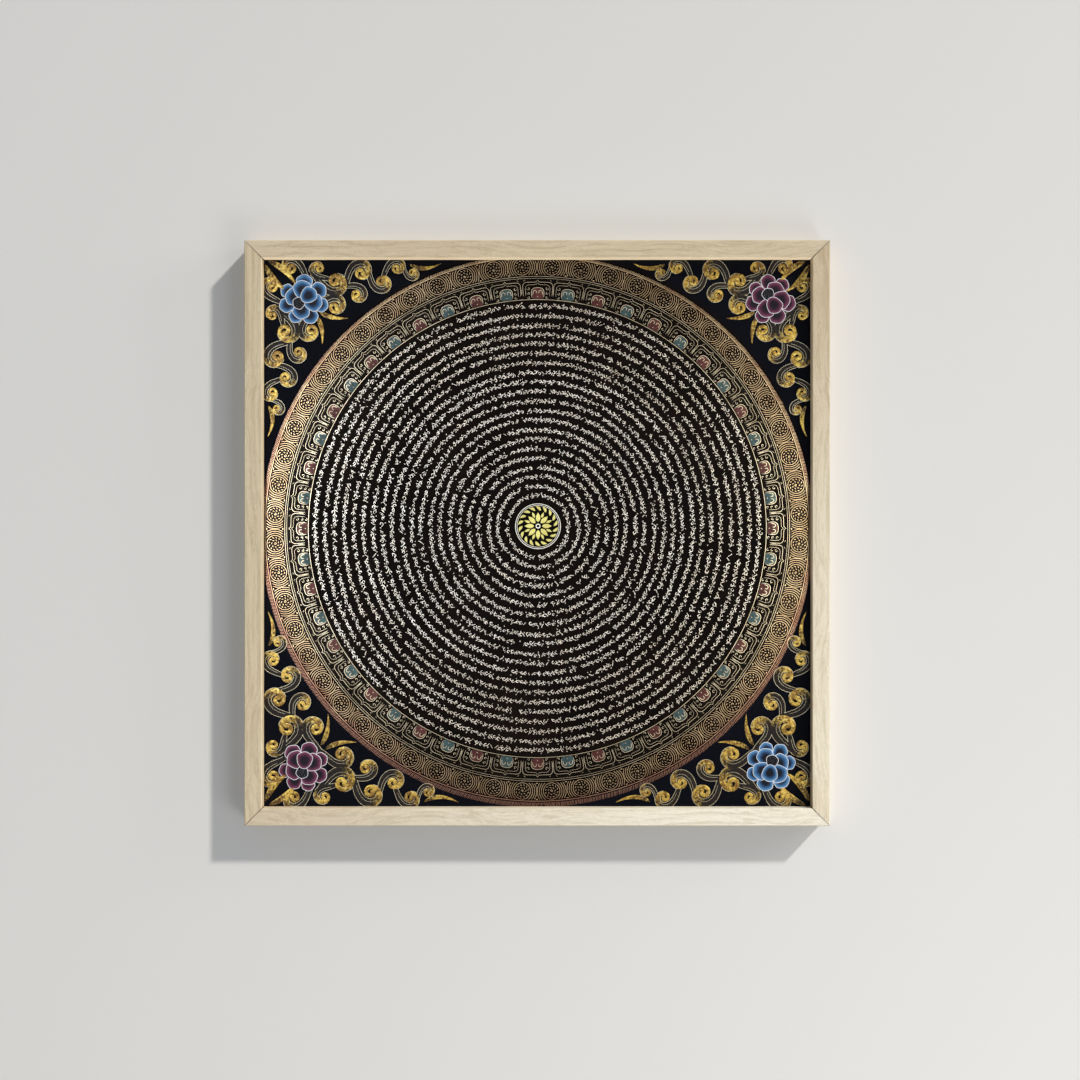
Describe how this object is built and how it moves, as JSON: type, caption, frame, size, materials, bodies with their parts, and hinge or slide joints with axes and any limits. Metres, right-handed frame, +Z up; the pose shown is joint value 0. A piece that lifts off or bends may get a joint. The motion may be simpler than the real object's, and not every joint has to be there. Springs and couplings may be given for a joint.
{
  "type": "thangka painting in a wood frame",
  "caption": "Square painted cotton thangka held flat in the rebate of a slim, deep, mitred pale wood frame that hangs flat on a wall.",
  "frame": {"origin": "middle of the top rail's back face, where the frame touches the wall", "axes": "+X to the right as seen from the front, +Z up, +Y back towards the wall"},
  "size_m": [0.6, 0.03, 0.6],
  "materials": {
    "painted_cotton": "cotton sized and painted near black, with fine gold and coloured brushwork",
    "pale_ash": "straight-grained pale ash, clear matt finish"
  },
  "bodies": {
    "root": {"painted_cloth": "painted_cotton", "rail_top": "pale_ash", "rail_right": "pale_ash", "rail_bottom": "pale_ash", "rail_left": "pale_ash"}
  },
  "joints": []
}
